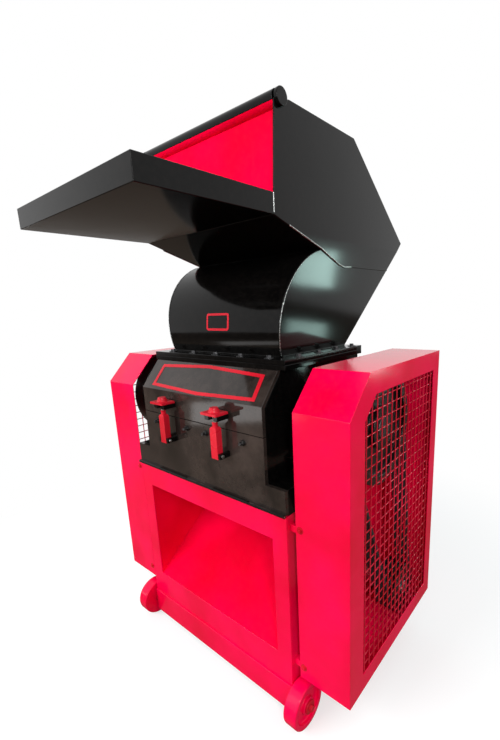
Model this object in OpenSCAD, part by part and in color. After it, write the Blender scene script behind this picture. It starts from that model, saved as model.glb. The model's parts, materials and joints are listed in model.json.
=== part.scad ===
// Plastic granulator: a cabinet on four wheels carries a cutting chamber, a rolled throat, a feed hopper
// with a tray, and two mesh-sided guards over the drive.
// Lengths are millimetres. +X is the machine's right as seen from the front, +Y its back and +Z up.
// The floor is at Z = 0.

/* [Cabinet] */
// half width over the cabinet's side panels
cab_half_w = 349; // [346:1:352]
// front face of the cabinet and the chamber
front_y = -280; // [-284:1:-276]
// back face of the cabinet
cab_back_y = 300; // [292:1:308]
// underside of the cabinet's panels
cab_low_z = 115; // [112:1:118]
// top of the cabinet
cab_top_z = 665; // [660:1:668]
// thickness of cabinet sheets
sheet_t = 4; // [3:0.5:6]
// width of the front panel beside the discharge opening
open_side = 53; // [46:1:60]
// lower edge of the discharge opening
open_low_z = 210; // [200:1:220]
// height of the front panel above the discharge opening
open_drop = 82; // [70:1:95]
// height of the top frame's beams
top_beam_h = 40; // [30:1:50]
// how far the well's edge stands in from the side plates
well_in = 10; // [4:1:20]
// front edge of the well
well_front_y = -228; // [-235:1:-220]
// back edge of the well
well_back_y = 205; // [190:1:215]
// width of the bottom frame's beams
beam_w = 40; // [30:1:50]
// underside of the bottom frame
sill_z = 45; // [40:1:55]
// lower edge of the front apron
apron_low_z = 22; // [18:1:40]
// thickness of the front apron
apron_t = 5; // [4:0.5:8]
// back edge of the chute floor
chute_back_y = 255; // [240:1:270]
// thickness of the chute sheets
chute_t = 3; // [2:0.5:5]
// width of a vent slot in the back panel
vent_w = 150; // [120:1:180]
// height of a vent slot
vent_h = 10; // [6:1:14]
// distance between vent slots
vent_pitch = 30; // [24:1:36]
// number of rows of vent slots
vent_rows = 6; // [3:1:8]

/* [Wheels] */
// radius of a wheel
wheel_r = 68; // [64:1:70]
// width of a wheel
wheel_w = 45; // [38:1:50]
// gap between the cabinet and a wheel
wheel_gap = 5; // [4:1:8]
// centre of the front wheels
wheel_front_y = -268; // [-275:1:-255]
// centre of the rear wheels
wheel_back_y = 235; // [220:1:250]
// radius of a wheel's hub
wheel_hub_r = 25; // [20:1:30]
// inner radius of a wheel's rim
wheel_rim_r = 52; // [46:1:56]
// depth of the hollow in a wheel's faces
wheel_dish = 11; // [6:1:14]
// bevel on a wheel's edge
wheel_bevel = 3; // [2:0.5:5]
// radius of an axle
axle_r = 12; // [10:0.5:15]
// thickness of an axle's end washer
axle_cap_t = 5; // [4:0.5:7]
// radius of an axle's washers
axle_cap_r = 20; // [17:1:24]

/* [Motor and drive] */
// centre of the motor from front to back
motor_y = 150; // [140:1:158]
// height of the motor's axis
motor_z = 252; // [245:1:260]
// radius of the motor's body
motor_r = 118; // [105:1:124]
// left end of the motor's body
motor_x0 = -190; // [-200:1:-170]
// right end of the motor's body
motor_x1 = 150; // [140:1:170]
// length of the fan cover and the end shield
motor_end_l = 42; // [30:1:55]
// how much narrower the motor's end parts are
motor_step = 8; // [5:1:14]
// height and half width of the motor's feet
motor_foot_h = 14; // [10:1:20]
// half spread of the motor's feet
motor_foot_y = 108; // [100:1:114]
// half width of the motor's rail beams
rail_half_w = 18; // [14:1:24]
// centre distance of a rail from the motor's axis
rail_off = 82; // [72:1:88]
// size of the terminal box
terminal_w = 92; // [80:1:110]
// radius of the motor's shaft
motor_shaft_r = 24; // [20:1:28]
// radius of the hole for the motor's shaft in the cabinet
motor_hole_r = 44; // [38:1:50]
// length of the shaft inside the motor
shaft_in = 60; // [40:1:80]
// how far the motor's shaft stands out of its pulley
shaft_out = 5; // [3:1:8]
// outer radius of the motor's pulley
motor_pulley_r = 82.5; // [78:0.5:86]
// outer radius of the rotor's pulley
rotor_pulley_r = 165; // [156:0.5:166]
// distance from a guard's inner edge to its pulleys
pulley_in = 66; // [62:1:70]
// distance between belts
belt_pitch = 19; // [18:0.5:21]
// width of a belt
belt_w = 12; // [10:0.5:13]
// depth of a belt
belt_t = 11; // [9:0.5:12]
// clearance round a belt
belt_gap = 0.8; // [0.5:0.1:1.2]
// width of a pulley's end rim
pulley_lip = 5; // [4:0.5:7]
// number of belts
belts = 3; // [2:1:3]
// radius of a pulley's hub
pulley_hub_r = 62; // [56:1:66]
// depth of the hollow in the large pulley and the flywheel
pulley_dish = 18; // [10:1:22]
// width of a disc's rim
disc_rim = 26; // [20:1:34]

/* [Chamber] */
// width of the cabinet's top beside the chamber
bearing_room = 69; // [66:1:74]
// thickness of the chamber's side plates
side_t = 32; // [26:1:34]
// thickness of the front and back plates
plate_t = 12; // [10:1:14]
// back face of the chamber
chamber_back_y = 232; // [228:1:240]
// height of the pedestals under the bearings
pedestal_h = 75; // [70:1:80]
// gap between the door and the plate above it
seam_gap = 2; // [1.6:0.2:3]
// height of the front plate's crease above the rotor's axis
crease_up = 85; // [80:1:90]
// top edge of the sloped front, from front to back
slope_top_y = -210; // [-214:1:-206]
// height of the chamber's top above the rotor's axis
chamber_up = 171; // [167:1:175]
// thickness of each flange
flange_t = 14; // [12:1:15]
// how far the flanges stand out past the side plates
flange_side = 20; // [14:1:24]
// front edge of the flanges
flange_front_y = -202; // [-205:1:-198]
// back edge of the flanges
flange_back_y = 222; // [216:1:228]
// height of the rotor's axis above the cabinet
rotor_up = 210; // [206:1:213]
// rotor's axis from front to back
rotor_y = -23; // [-26:1:-20]

/* [Rotor and knives] */
// radius of the cutting circle
cut_r = 150; // [144:1:152]
// radius of the rotor shaft
shaft_r = 35; // [30:1:38]
// how far the shaft stands out of the pulley
shaft_end = 2; // [1:1:6]
// radius of the rotor's core
core_r = 72; // [66:1:76]
// gap between the rotor and a side plate
rotor_gap = 6; // [4:1:10]
// how far the rotor's arms stay inside the cutting circle
arm_in = 18; // [14:1:24]
// thickness of an arm at its outer end
arm_tip_t = 24; // [18:1:30]
// thickness of an arm at its root
arm_root_t = 52; // [44:1:58]
// thickness of a rotor knife
knife_t = 14; // [12:1:16]
// distance of a rotor knife from the rotor's core
knife_foot = 8; // [4:1:14]
// relief behind a rotor knife's edge
knife_relief = 8; // [5:1:12]
// number of rotor knives
knives = 3; // [3:1:3]
// gap between rotor knives and bed knives
knife_gap = 1; // [0.6:0.1:1.5]
// height of the bed knife's face above the axis
bed_up = 30; // [26:1:34]
// thickness of a bed knife
bed_t = 14; // [12:1:16]
// length of a bed knife from edge to back
bed_len = 78; // [70:1:84]
// relief under a bed knife's edge
bed_relief = 7; // [5:1:10]
// height of the beam under a bed knife
bed_beam_h = 30; // [24:1:32]
// how far the beam stays back from the edge
bed_beam_in = 9; // [8:1:14]
// clearance between the beam and the door
beam_gap = 2; // [1:0.5:4]
// clearance of a bed knife from the side plates
bed_end_gap = 2; // [1:0.5:4]
// clearance between the cutting circle and the screen
screen_gap = 7; // [5:1:10]
// thickness of the screen
screen_t = 4; // [3:0.5:5]
// radius of a screen hole
screen_hole_r = 12; // [8:1:14]
// number of screen holes along the rotor
screen_rows = 6; // [4:1:7]
// number of screen holes round the rotor
screen_cols = 4; // [3:1:5]
// radial depth of a cradle rib
rib_h = 14; // [10:1:18]
// width of a cradle rib
rib_w = 14; // [10:1:18]
// size of the cradle's cross bars
cradle_bar = 20; // [16:1:22]

/* [Bearings] */
// width of a bearing block
bearing_w = 52; // [44:1:56]
// radius of a bearing block's round housing
bearing_r = 62; // [56:1:66]
// half length of a bearing's foot
bearing_foot_y = 105; // [96:1:112]
// height of a bearing's foot
bearing_foot_h = 24; // [18:1:30]
// how far the bearing stands off the chamber
bearing_off = 7; // [5:1:9]

/* [Door and clamps] */
// radius of the hinge knuckles
hinge_r = 5; // [4.5:0.5:6]
// radius of the hinge pin
hinge_pin_r = 2.5; // [2:0.5:3]
// hinge axis in front of the door
hinge_off = 6; // [6:0.5:8]
// thickness of the hinge leaves
leaf_t = 3; // [2:0.5:4]
// depth of the hinge leaves
leaf_l = 40; // [30:1:50]
// distance of a hinge leaf from the side plate beside it
leaf_side = 31; // [20:1:40]
// half length of the middle knuckle
knuckle_half = 65; // [55:1:70]
// gap between knuckles
knuckle_gap = 2; // [1:0.5:4]
// distance of a clamp from the middle
clamp_x = 125; // [120:1:132]
// clamp pivot in front of the door
clamp_off = 30; // [29:1:32]
// drop of the clamp's pivot below the seam
pivot_down = 71; // [66:1:76]
// half width of the clamp's block, from left to right
block_half_x = 13.5; // [12:0.5:14.5]
// half width of the clamp's block, from front to back
block_half_y = 10; // [9:0.5:11]
// how far the block reaches below its pivot
block_below = 9; // [8:0.5:10]
// height of the block's shoulder above the seam
shoulder_up = 9; // [6:1:11]
// height of the taper above the shoulder
taper_h = 6; // [4:0.5:8]
// height of the neck's top above the seam
neck_up = 29; // [26:1:31]
// radius of the block's neck
neck_r = 8; // [7.5:0.5:8.5]
// radius of the clamp's pin
clamp_pin_r = 5; // [4.5:0.5:5.5]
// thickness of a clevis cheek
cheek_t = 8; // [6:1:9]
// half height of a clevis cheek
cheek_half_h = 8; // [7:0.5:9]
// how far a cheek reaches past its pin
cheek_nose = 9; // [8:0.5:10]
// how far the pin stands out of the cheeks
pin_out = 4; // [3:1:6]
// side clearance of the clamp's block
block_gap = 0.5; // [0.4:0.1:1]
// radius of the swing bolt
bolt_r = 6; // [5.5:0.5:6.5]
// how deep the bolt is seated below the shoulder
bolt_in = 25; // [20:1:30]
// height of the fork lug's underside above the seam
lug_up = 35; // [33:1:37]
// thickness of the fork lug
lug_t = 14; // [12:1:16]
// half width of the fork lug
lug_half_w = 27; // [25:1:30]
// how far the lug reaches past the bolt
lug_nose = 14; // [12:1:16]
// clearance round the bolt in the fork
slot_gap = 3; // [2:0.5:4]
// gap between the lug and the plate above it
nut_gap = 2; // [1.5:0.5:3]
// half width of the clamp's top plate, from left to right
nut_half_x = 32; // [30:0.5:34]
// half width of the clamp's top plate, from front to back
nut_half_y = 24; // [22:0.5:26]
// thickness of the top plate
nut_plate_t = 7; // [5:0.5:8]
// height of the round hump on the plate
hump_h = 13; // [10:1:16]
// radius at the hump's foot
hump_r = 17; // [15:0.5:19]
// radius at the hump's top
hump_top_r = 12; // [10:0.5:14]
// drop of the door's screws below the seam
stud_down = 27; // [24:1:32]
// inner screws from the middle
stud_in_x = 46; // [40:1:52]
// distance of the outer screws from the side plates
stud_side = 44; // [38:1:50]
// radius of a screw's shank
stud_r = 5; // [4:0.5:6]
// how far a screw stands out of the door
stud_out = 17; // [14:1:20]
// how far a screw reaches in behind the door
stud_tip = 4; // [2:1:6]
// radius over the corners of a screw's nut
stud_nut_r = 9; // [8:0.5:10]
// length of a screw's nut
stud_nut_l = 8; // [6:1:10]

/* [Guards] */
// gap between the cabinet and a guard
guard_gap = 21; // [18:1:24]
// width of a guard
guard_w = 165; // [160:1:170]
// front face of the guards
guard_front_y = -268; // [-272:1:-264]
// back face of the guards
guard_back_y = 317; // [310:1:324]
// underside of the guards
guard_low_z = 155; // [150:1:160]
// height of the guards' top above the rotor's axis
guard_up = 180; // [177:1:185]
// depth of the front chamfer
guard_cham_y = 95; // [88:1:100]
// height of the front chamfer
guard_cham_z = 100; // [94:1:106]
// play between the cabinet's side and the back edge of a guard
guard_play = 2; // [1:0.5:5]
// thickness of a guard's sheet
guard_t = 3; // [2:0.5:4]
// width of the border in front of the mesh window
win_front = 73; // [68:1:78]
// width of the border behind the mesh window
win_back = 49; // [44:1:54]
// height of the border under the mesh window
win_low = 52; // [46:1:58]
// height of the border over the mesh window
win_top = 59; // [54:1:64]
// corner cut of the mesh window
win_cham = 57; // [50:1:62]
// radius of a mesh wire
wire_r = 1.7; // [1.4:0.1:2]
// how far a wire runs behind the window's border
wire_over = 12; // [8:1:16]
// air between crossing wires
wire_gap = 0.2; // [0.1:0.05:0.3]
// number of upright wires
wires_y = 16; // [14:1:18]
// number of level wires
wires_z = 27; // [25:1:29]
// height of the lower brackets above the guards' underside
bracket_up = 40; // [34:1:50]
// drop of the upper brackets below the cabinet's top
bracket_down = 35; // [30:1:45]
// length of a bracket
bracket_l = 46; // [40:1:52]
// depth of a bracket
bracket_d = 20; // [16:1:24]

/* [Hopper] */
// how far the throat's sides stand in at the flange
throat_in = 32.5; // [30:0.5:34]
// thickness of the hopper's sheets
hop_t = 4; // [3:0.5:5]
// height above the flange where the hopper's sides start to taper
bend_up = 333; // [326:1:340]
// centre of the rolled throat, front to back
roll_y = 66; // [62:1:70]
// height of the rolled throat's centre above the flange
roll_up = 75; // [71:1:79]
// radius of the rolled throat
roll_r = 230.5; // [228:0.5:233]
// line where the roll meets the mouth's floor, front to back
kink_y = 15.7; // [10:0.1:20]
// height of the top plate above the flange
hop_top_up = 642; // [636:1:646]
// front top corner, front to back
mouth_top_y = -183; // [-186:1:-180]
// height of the front top corner above the flange
mouth_top_up = 627; // [623:1:631]
// front lower corner, front to back
mouth_low_y = -199; // [-203:1:-195]
// height of the tray's underside above the flange
tray_up = 366; // [362:1:370]
// front edge of the top plate
top_front_y = -123; // [-126:1:-118]
// back edge of the top plate
top_back_y = 203; // [198:1:208]
// rearmost edge, front to back
back_y = 582; // [576:1:588]
// height of the rearmost edge above the flange
back_up = 366; // [360:1:372]
// foot of the back sheet
foot_back_y = 197; // [192:1:200]
// front of the tray
tray_front_y = -582; // [-588:1:-576]
// height of the tray's lips
lip_h = 52; // [48:1:56]
// thickness of the tray's sheet
tray_t = 3; // [2:0.5:4]

/* [Flap] */
// flap's axis, front to back
flap_y = -163; // [-166:1:-160]
// height of the flap's axis above the flange
flap_up = 634; // [630:1:636]
// radius of the flap's tube
tube_r = 21; // [19:1:22]
// radius of the flap's rod
rod_r = 9; // [8:0.5:11]
// length of the collars outside the hopper
collar_l = 10; // [8:1:14]
// height of the flap's lower edge above the tray's floor
flap_low = 4; // [2:1:15]
// thickness of the flap
flap_t = 4; // [3:0.5:6]
// side clearance of the flap
flap_gap = 2; // [1:0.5:4]

/* [Fits] */
// radial running clearance of turning fits
run = 0.05; // [0.03:0.01:0.08]
// side play of a wheel on its axle
side_play = 0.25; // [0.2:0.05:0.4]
// clearance round a shaft where it only passes through a plate
shaft_room = 1; // [0.8:0.1:1.5]
// clearance of parts that are seated in one another
seat = 0.1; // [0.05:0.05:0.2]
// extra depth of cuts past a face
past = 1; // [0.5:0.5:2]

/* [Hidden] */
$fn = 13;
hex_sides = 6;
roll_steps = 14;
belt_steps = 20;
half_turn = 180;
full_turn = 360;
in_half_w = cab_half_w - sheet_t;
chamber_half_w = cab_half_w - bearing_room;
flange_half_w = chamber_half_w + flange_side;
hop_half_w = chamber_half_w;
throat_half_w = hop_half_w - throat_in;
open_half_w = cab_half_w - open_side;
open_high_z = cab_top_z - open_drop;
top_beam_z = cab_top_z - top_beam_h;
inner_half = chamber_half_w - side_t;
well_half_w = inner_half - well_in;
wheel_x0 = cab_half_w + wheel_gap;
wheel_x1 = wheel_x0 + wheel_w;
pedestal_z = cab_top_z + pedestal_h;
rotor_z = cab_top_z + rotor_up;
seam_z = rotor_z;
crease_z = rotor_z + crease_up;
chamber_top_z = rotor_z + chamber_up;
guard_x0 = cab_half_w + guard_gap;
guard_x1 = guard_x0 + guard_w;
guard_top_z = rotor_z + guard_up;
win_front_y = guard_front_y + win_front;
win_back_y = guard_back_y - win_back;
win_low_z = guard_low_z + win_low;
win_top_z = guard_top_z - win_top;
pulley_w = belts * belt_pitch + 2 * pulley_lip;
pulley_x0 = guard_x0 + pulley_in;
pulley_x1 = pulley_x0 + pulley_w;
shaft_half_l = pulley_x1 + shaft_end;
door_back_y = front_y + plate_t;
door_top_z = seam_z - seam_gap / 2;
hinge_y = front_y - hinge_off;
hinge_z = cab_top_z + hinge_r;
leaf_end = inner_half - leaf_side;
stud_out_x = inner_half - stud_side;
clamp_y = front_y - clamp_off;
clamp_pivot_z = seam_z - pivot_down;
shoulder_z = seam_z + shoulder_up;
neck_top_z = seam_z + neck_up;
lug_low_z = seam_z + lug_up;
lug_top_z = lug_low_z + lug_t;
stud_z = seam_z - stud_down;
flange_mid_z = chamber_top_z + flange_t;
flange_top_z = flange_mid_z + flange_t;
bend_z = flange_top_z + bend_up;
roll_z = flange_top_z + roll_up;
hop_top_z = flange_top_z + hop_top_up;
mouth_top_z = flange_top_z + mouth_top_up;
tray_low_z = flange_top_z + tray_up;
back_z = flange_top_z + back_up;
flap_z = flange_top_z + flap_up;
flap_low_z = tray_low_z + tray_t + flap_low;
tip_y = rotor_y - sqrt(pow(cut_r + knife_gap, 2) - pow(bed_up, 2));
bed_z = rotor_z + bed_up;
bed_low_z = bed_z - bed_t;
rotor_half_l = inner_half - rotor_gap;
arm_r = cut_r - arm_in;
knife_in_r = core_r + knife_foot;
screen_r = cut_r + screen_gap;
roll_start = acos((kink_y - roll_y) / roll_r);
roll_end = half_turn + asin(roll_up / roll_r);
roll_end_in = half_turn + asin(roll_up / (roll_r - hop_t));

paint_red = [0.78, 0.02, 0.10];
paint_black = [0.03, 0.03, 0.035];
steel = [0.62, 0.62, 0.64];
dark_steel = [0.25, 0.25, 0.27];
rubber = [0.05, 0.05, 0.05];

// unit vector from one point to another
function unit(p, q) = (q - p) / norm(q - p);

// left-hand normal of a direction
function left(d) = [-d[1], d[0]];

// corner of an offset path between two directions, both with the normal n1 and n2
function corner(p, n1, n2, t) = p + t * (n1 + n2) / (1 + n1 * n2);

// point on a circle
function on_circle(c, r, a) = c + r * [cos(a), sin(a)];

// closed path round two circles, joined by their outer tangents
function loop_path(c1, r1, c2, r2) =
    let (
        d = c2 - c1,
        a = atan2(d[1], d[0]),
        b = acos((r1 - r2) / norm(d))
    )
    concat(
        [for (i = [0 : belt_steps]) on_circle(c1, r1, a + b + i / belt_steps * (full_turn - 2 * b))],
        [for (i = [0 : belt_steps]) on_circle(c2, r2, a - b + i / belt_steps * 2 * b)]
    );

module box(x0, x1, y0, y1, z0, z1) {
    translate([x0, y0, z0])
        cube([x1 - x0, y1 - y0, z1 - z0]);
}

// outline in Y and Z, drawn out along X
module slab_x(x0, x1, pts) {
    translate([x0, 0, 0])
        rotate([90, 0, 90])
            linear_extrude(height = x1 - x0)
                polygon(pts);
}

// outline in X and Z, drawn out along Y
module slab_y(y0, y1, pts) {
    translate([0, y1, 0])
        rotate([90, 0, 0])
            linear_extrude(height = y1 - y0)
                polygon(pts);
}

module rod_x(x0, x1, y, z, r) {
    translate([x0, y, z])
        rotate([0, 90, 0])
            cylinder(h = x1 - x0, r = r);
}

module rod_y(y0, y1, x, z, r) {
    translate([x, y0, z])
        rotate([-90, 0, 0])
            cylinder(h = y1 - y0, r = r);
}

module rod_z(z0, z1, x, y, r) {
    translate([x, y, z0])
        cylinder(h = z1 - z0, r = r);
}

// solid of revolution about an axis along X, from radius and length pairs
module turned_x(x0, y, z, pts) {
    translate([x0, y, z])
        rotate([0, 90, 0])
            rotate_extrude()
                polygon(pts);
}

module mirrored() {
    mirror([1, 0, 0])
        children();
}

module both_sides() {
    children();
    mirrored()
        children();
}

// turn about the rotor's axis
module about_rotor(angle) {
    translate([0, rotor_y, rotor_z])
        rotate([angle, 0, 0])
            translate([0, -rotor_y, -rotor_z])
                children();
}

module base_front() {
    color(paint_red)
        difference() {
            box(-cab_half_w, cab_half_w, front_y, front_y + sheet_t, cab_low_z, cab_top_z);
            box(-open_half_w, open_half_w, front_y - past, front_y + sheet_t + past, open_low_z, open_high_z);
        }
}

module base_side() {
    box(in_half_w, cab_half_w, front_y + sheet_t, cab_back_y - sheet_t, cab_low_z, cab_top_z);
}

module base_side_left() {
    color(paint_red)
        mirrored()
            base_side();
}

module base_side_right() {
    color(paint_red)
        difference() {
            base_side();
            rod_x(in_half_w - past, cab_half_w + past, motor_y, motor_z, motor_hole_r);
        }
}

module base_back() {
    color(paint_red)
        difference() {
            box(-cab_half_w, cab_half_w, cab_back_y - sheet_t, cab_back_y, cab_low_z, cab_top_z);
            for (i = [0 : vent_rows - 1])
                box(-vent_w, vent_w, cab_back_y - sheet_t - past, cab_back_y + past,
                    motor_z + (i - vent_rows / 2) * vent_pitch,
                    motor_z + (i - vent_rows / 2) * vent_pitch + vent_h);
        }
}

module base_top_frame() {
    color(paint_red)
        difference() {
            box(-in_half_w, in_half_w, front_y + sheet_t, cab_back_y - sheet_t, top_beam_z, cab_top_z);
            box(-well_half_w, well_half_w, well_front_y, well_back_y, top_beam_z - past, cab_top_z + past);
        }
}

module base_bottom_frame() {
    color(paint_red) {
        both_sides()
            box(cab_half_w - beam_w, cab_half_w, front_y, cab_back_y, sill_z, cab_low_z);
        box(-cab_half_w, cab_half_w, front_y, front_y + beam_w, sill_z, cab_low_z);
        box(-cab_half_w, cab_half_w, cab_back_y - beam_w, cab_back_y, sill_z, cab_low_z);
        for (s = [-1, 1])
            box(-cab_half_w, cab_half_w, motor_y + s * rail_off - rail_half_w,
                motor_y + s * rail_off + rail_half_w, sill_z, cab_low_z);
        box(-cab_half_w, cab_half_w, front_y - apron_t, front_y, apron_low_z, cab_low_z);
    }
}

module discharge_chute() {
    y0 = front_y + sheet_t;
    drop = chute_t;
    color(paint_red) {
        slab_x(-open_half_w, open_half_w, [
            [y0, open_low_z], [y0, open_low_z - drop], [chute_back_y, top_beam_z - drop],
            [chute_back_y, top_beam_z]
        ]);
        both_sides()
            slab_x(open_half_w, open_half_w + chute_t, [
                [y0, open_low_z - drop], [chute_back_y, top_beam_z - drop], [chute_back_y, top_beam_z],
                [y0, top_beam_z]
            ]);
    }
}

module at_wheels() {
    for (y = [wheel_front_y, wheel_back_y])
        both_sides()
            translate([0, y, wheel_r])
                children();
}

module wheel_axles() {
    color(steel)
        at_wheels() {
            rod_x(cab_half_w, wheel_x0 - side_play, 0, 0, axle_cap_r);
            rod_x(cab_half_w, wheel_x1 + side_play + axle_cap_t, 0, 0, axle_r);
            rod_x(wheel_x1 + side_play, wheel_x1 + side_play + axle_cap_t, 0, 0, axle_cap_r);
        }
}

module wheel() {
    color(paint_red)
        turned_x(wheel_x0, 0, wheel_r, [
            [axle_r + run, 0], [wheel_r - wheel_bevel, 0], [wheel_r, wheel_bevel],
            [wheel_r, wheel_w - wheel_bevel], [wheel_r - wheel_bevel, wheel_w], [wheel_rim_r, wheel_w],
            [wheel_rim_r, wheel_w - wheel_dish], [wheel_hub_r, wheel_w - wheel_dish], [wheel_hub_r, wheel_w],
            [axle_r + run, wheel_w]
        ]);
}

module wheel_front_right() {
    translate([0, wheel_front_y, 0])
        wheel();
}

module wheel_front_left() {
    mirrored()
        wheel_front_right();
}

module wheel_rear_right() {
    translate([0, wheel_back_y, 0])
        wheel();
}

module wheel_rear_left() {
    mirrored()
        wheel_rear_right();
}

module motor_body() {
    half = terminal_w / 2;
    color(paint_red)
        difference() {
            union() {
                rod_x(motor_x0, motor_x1, motor_y, motor_z, motor_r);
                rod_x(motor_x0 - motor_end_l, motor_x0 + past, motor_y, motor_z, motor_r - motor_step);
                rod_x(motor_x1 - past, motor_x1 + motor_end_l, motor_y, motor_z, motor_r - 2 * motor_step);
                box(motor_x0 + motor_end_l, motor_x1 - motor_end_l, motor_y - motor_foot_y,
                    motor_y + motor_foot_y, cab_low_z, cab_low_z + motor_foot_h);
                box(motor_x0 + motor_end_l, motor_x1 - motor_end_l, motor_y - half, motor_y + half,
                    cab_low_z, motor_z);
                box(-half, half, motor_y - half, motor_y + half, motor_z, motor_z + motor_r + motor_end_l);
            }
            rod_x(motor_x1 + motor_end_l - shaft_in, motor_x1 + motor_end_l + past, motor_y, motor_z,
                motor_shaft_r + run);
        }
}

module motor_shaft() {
    color(steel)
        rod_x(motor_x1 + motor_end_l - shaft_in + past, pulley_x1 + shaft_out, motor_y, motor_z,
            motor_shaft_r);
}

// outline of a pulley's grooved rim from its inner face to its outer one: radius and length pairs
function grooved(r) =
    concat(
        [[r, 0]],
        [for (i = [0 : belts - 1])
            let (c = pulley_lip + (i + 1 / 2) * belt_pitch, h = belt_w / 2 + belt_gap)
            each [
                [r, c - h], [r - belt_t, c - h], [r - belt_t, c + h], [r, c + h]
            ]],
        [[r, pulley_w]]
    );

module motor_pulley() {
    bore = motor_shaft_r + seat;
    color(paint_black)
        turned_x(pulley_x0, motor_y, motor_z,
            concat([[bore, 0]], grooved(motor_pulley_r), [[bore, pulley_w]]));
}

module driven_pulley() {
    bore = shaft_r + seat;
    rim = rotor_pulley_r - disc_rim;
    color(paint_black)
        turned_x(pulley_x0, rotor_y, rotor_z, concat(
            [[bore, 0]], grooved(rotor_pulley_r),
            [[rim, pulley_w], [rim, pulley_w - pulley_dish], [pulley_hub_r, pulley_w - pulley_dish],
                [pulley_hub_r, pulley_w], [bore, pulley_w]]
        ));
}

module drive_belts() {
    c1 = [rotor_y, rotor_z];
    c2 = [motor_y, motor_z];
    in = belt_gap - belt_t;
    color(rubber)
        for (i = [0 : belts - 1]) {
            x = pulley_x0 + pulley_lip + (i + 1 / 2) * belt_pitch - belt_w / 2;
            difference() {
                slab_x(x, x + belt_w, loop_path(c1, rotor_pulley_r, c2, motor_pulley_r));
                slab_x(x - past, x + belt_w + past,
                    loop_path(c1, rotor_pulley_r + in, c2, motor_pulley_r + in));
            }
        }
}

module flywheel() {
    rim = rotor_pulley_r - disc_rim;
    color(paint_black)
        mirrored()
            turned_x(pulley_x0, rotor_y, rotor_z, [
                [shaft_r + seat, 0], [pulley_hub_r, 0], [pulley_hub_r, pulley_dish], [rim, pulley_dish],
                [rim, 0], [rotor_pulley_r, 0], [rotor_pulley_r, pulley_w], [rim, pulley_w],
                [rim, pulley_w - pulley_dish], [pulley_hub_r, pulley_w - pulley_dish],
                [pulley_hub_r, pulley_w], [shaft_r + seat, pulley_w]
            ]);
}

module pedestal_right() {
    color(paint_black)
        box(chamber_half_w, cab_half_w, door_back_y, chamber_back_y, cab_top_z, pedestal_z);
}

module pedestal_left() {
    mirrored()
        pedestal_right();
}

// path of the bent front plate's outer face, and its inner face
front_a = [front_y, seam_z + seam_gap / 2];
front_b = [front_y, crease_z];
front_c = [slope_top_y, chamber_top_z];
front_n1 = -left(unit(front_a, front_b));
front_n2 = -left(unit(front_b, front_c));
front_b_in = corner(front_b, front_n1, front_n2, plate_t);
front_c_in = [slope_top_y + plate_t / front_n2[0], chamber_top_z];

module chamber_side_right() {
    color(paint_black)
        difference() {
            slab_x(inner_half, chamber_half_w, [
                [door_back_y, cab_top_z], [chamber_back_y - plate_t, cab_top_z],
                [chamber_back_y - plate_t, chamber_top_z], front_c_in, front_b_in
            ]);
            rod_x(inner_half - past, chamber_half_w + past, rotor_y, rotor_z, shaft_r + shaft_room);
        }
}

module chamber_side_left() {
    mirrored()
        chamber_side_right();
}

module chamber_front() {
    color(paint_black)
        slab_x(-chamber_half_w, chamber_half_w, [
            front_a, [door_back_y, front_a[1]], front_b_in, front_c_in, front_c, front_b
        ]);
}

module chamber_back() {
    color(paint_black)
        box(-chamber_half_w, chamber_half_w, chamber_back_y - plate_t, chamber_back_y, cab_top_z,
            chamber_top_z);
}

module flange_ring(z0) {
    color(paint_black)
        difference() {
            box(-flange_half_w, flange_half_w, flange_front_y, flange_back_y, z0, z0 + flange_t);
            box(-(throat_half_w - hop_t), throat_half_w - hop_t, on_circle([roll_y, roll_z], roll_r - hop_t,
                roll_end_in)[0], foot_back_y - hop_t, z0 - past, z0 + flange_t + past);
        }
}

module chamber_flange() {
    flange_ring(chamber_top_z);
}

module hopper_flange() {
    flange_ring(flange_mid_z);
}

module knife_beams() {
    low = bed_low_z - bed_beam_h;
    color(dark_steel)
        for (a = [0, half_turn])
            about_rotor(a)
                box(-inner_half, inner_half, door_back_y + beam_gap, tip_y - bed_beam_in, low, bed_low_z);
}

module bed_knives() {
    half = inner_half - bed_end_gap;
    color(steel)
        for (a = [0, half_turn])
            about_rotor(a)
                slab_x(-half, half, [
                    [tip_y, bed_z], [tip_y - bed_len, bed_z], [tip_y - bed_len, bed_low_z],
                    [tip_y - bed_relief, bed_low_z]
                ]);
}

screen_half = inner_half - bed_end_gap;
screen_pitch_x = 2 * screen_half / screen_rows;
screen_front_a = half_turn + asin((rotor_z - (bed_low_z - bed_beam_h - screen_t)) / screen_r);
screen_back_a = full_turn - asin((bed_up + screen_t) / screen_r);
screen_step_a = (screen_back_a - screen_front_a) / screen_cols;

// closed outline of a band round the rotor, from one angle to another
function band(r0, r1, a0, a1) = concat(
    [for (i = [0 : roll_steps]) on_circle([rotor_y, rotor_z], r0, a0 + i / roll_steps * (a1 - a0))],
    [for (i = [0 : roll_steps]) on_circle([rotor_y, rotor_z], r1, a1 - i / roll_steps * (a1 - a0))]
);

module screen() {
    color(steel)
        difference() {
            slab_x(-screen_half, screen_half,
                band(screen_r, screen_r + screen_t, screen_front_a, screen_back_a));
            for (i = [0 : screen_rows - 1], j = [0 : screen_cols - 1])
                translate([(i + 1 / 2) * screen_pitch_x - screen_half, rotor_y, rotor_z])
                    rotate([screen_front_a + (j + 1 / 2) * screen_step_a - half_turn / 2, 0, 0])
                        translate([0, 0, screen_r - past])
                            cylinder(h = screen_t + 2 * past, r = screen_hole_r, $fn = hex_sides);
        }
}

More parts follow.
